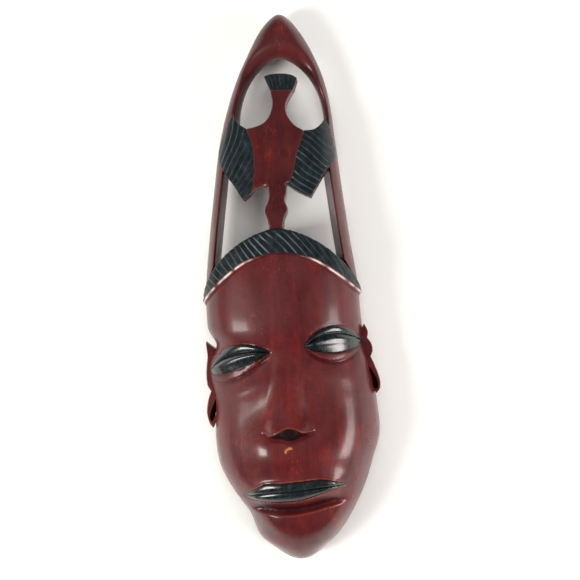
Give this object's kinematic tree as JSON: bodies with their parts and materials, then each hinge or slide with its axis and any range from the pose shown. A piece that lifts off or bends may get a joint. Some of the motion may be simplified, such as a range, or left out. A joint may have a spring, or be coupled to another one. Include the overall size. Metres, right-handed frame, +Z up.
{
  "type": "carved wooden mask",
  "caption": "Long pointed wall mask of polished wood, hollow behind, with an openwork crest holding a diving bird and a hanging ring on the back.",
  "frame": {"origin": "the wall nail on the flat back plane, where the raised hanger ring hooks over it", "axes": "+Z up towards the crest tip, -Y out of the face towards the viewer, +X to the viewer's right"},
  "size_m": [0.1591, 0.0766, 0.4992],
  "materials": {
    "stained_wood": "polished red-brown stain",
    "black_wood": "black stain, satin",
    "black_gloss": "black stain, polished",
    "zinc_steel": "zinc plated"
  },
  "bodies": {
    "mask": {"face_shell": "stained_wood", "crest_frame": "stained_wood", "bird_body": "stained_wood", "bird_beak": "stained_wood", "left_ear": "stained_wood", "right_ear": "stained_wood", "hair_band": "black_wood", "bird_tail": "black_wood", "left_wing": "black_wood", "right_wing": "black_wood", "left_eyelid": "black_gloss", "left_eyeball": "black_gloss", "right_eyelid": "black_gloss", "right_eyeball": "black_gloss", "upper_lip": "black_gloss", "lower_lip": "black_gloss", "hanger_strap": "zinc_steel", "hanger_screw": "zinc_steel"},
    "ring": {"hanger_ring": "zinc_steel"}
  },
  "joints": [
    {"name": "ring_swing", "type": "hinge", "parent": "mask", "child": "ring", "pos_m": [0, -0.0047, -0.0072], "axis": [1, 0, 0], "range_deg": [0, 180]}
  ]
}
